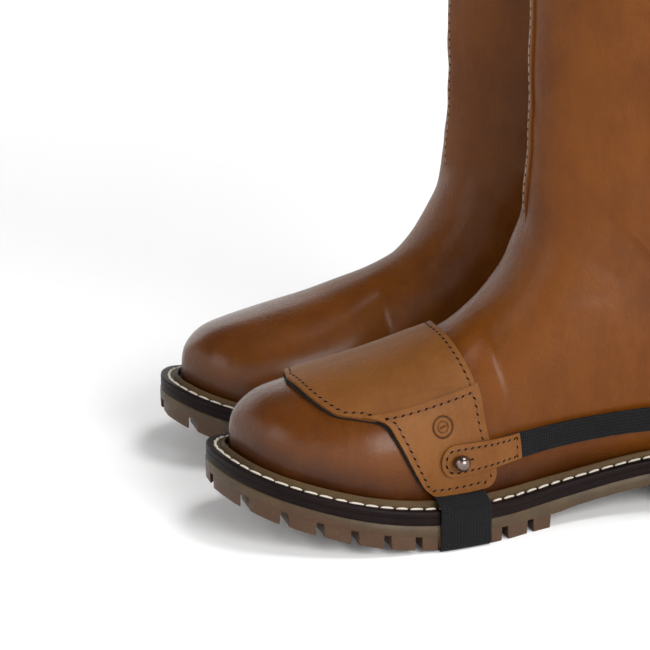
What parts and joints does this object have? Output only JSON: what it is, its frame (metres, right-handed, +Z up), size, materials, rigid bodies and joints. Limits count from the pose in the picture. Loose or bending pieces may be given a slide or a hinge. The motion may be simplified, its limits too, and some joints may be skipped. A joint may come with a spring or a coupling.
{
  "type": "riding boots",
  "caption": "Pair of tall pull-on leather riding boots on lugged gum soles, with a strap-on leather shift guard over the left forefoot.",
  "frame": {"origin": "centre of the pair's bounding box, on the ground", "axes": "+Z up, toes toward -Y, the left boot on +X and the right boot on -X"},
  "size_m": [0.2398, 0.3076, 0.3219],
  "materials": {
    "gum_rubber": "satin",
    "dark_midsole": "matte",
    "welt_leather": "matte",
    "insole_board": "matte",
    "cork": "matte",
    "shank_steel": "brushed",
    "footbed_leather": "matte",
    "tan_leather": "semi-gloss, burnished",
    "stiffener": "matte",
    "lining_leather": "matte",
    "guard_leather": "matte",
    "black_fabric": "matte",
    "black_elastic": "ribbed",
    "gunmetal": "polished dark"
  },
  "bodies": {
    "left_boot": {"left_outsole": "gum_rubber", "left_heel_base": "dark_midsole", "left_heel_lift": "gum_rubber", "left_midsole": "dark_midsole", "left_welt": "welt_leather", "left_insole_board": "insole_board", "left_cork_filler": "cork", "left_shank": "shank_steel", "left_footbed": "footbed_leather", "left_vamp": "tan_leather", "left_quarter_lateral": "tan_leather", "left_quarter_medial": "tan_leather", "left_toe_puff": "stiffener", "left_heel_counter": "stiffener", "left_lining": "lining_leather", "left_back_strip": "tan_leather", "left_topline_binding": "tan_leather", "left_guard_top_panel": "guard_leather", "left_guard_lateral_panel": "guard_leather", "left_guard_medial_panel": "guard_leather", "left_guard_lining": "black_fabric", "left_sole_strap": "black_elastic", "left_heel_strap_fixed": "black_elastic", "left_stud": "gunmetal"},
    "guard_strap_end": {"left_heel_strap_free": "black_elastic", "left_strap_tab": "guard_leather"},
    "right_boot": {"right_outsole": "gum_rubber", "right_heel_base": "dark_midsole", "right_heel_lift": "gum_rubber", "right_midsole": "dark_midsole", "right_welt": "welt_leather", "right_insole_board": "insole_board", "right_cork_filler": "cork", "right_shank": "shank_steel", "right_footbed": "footbed_leather", "right_vamp": "tan_leather", "right_quarter_lateral": "tan_leather", "right_quarter_medial": "tan_leather", "right_toe_puff": "stiffener", "right_heel_counter": "stiffener", "right_lining": "lining_leather", "right_back_strip": "tan_leather", "right_topline_binding": "tan_leather"}
  },
  "joints": [
    {"name": "right_boot_apart", "type": "slide", "parent": "left_boot", "child": "right_boot", "axis": [-1, 0, 0], "range_m": [0, 0.2]},
    {"name": "strap_unbuttoned", "type": "hinge", "parent": "left_boot", "child": "guard_strap_end", "pos_m": [0.10532, 0.09945, 0.05117], "axis": [0.1631, 0.0141, 0.9865], "range_deg": [0, 60]}
  ]
}
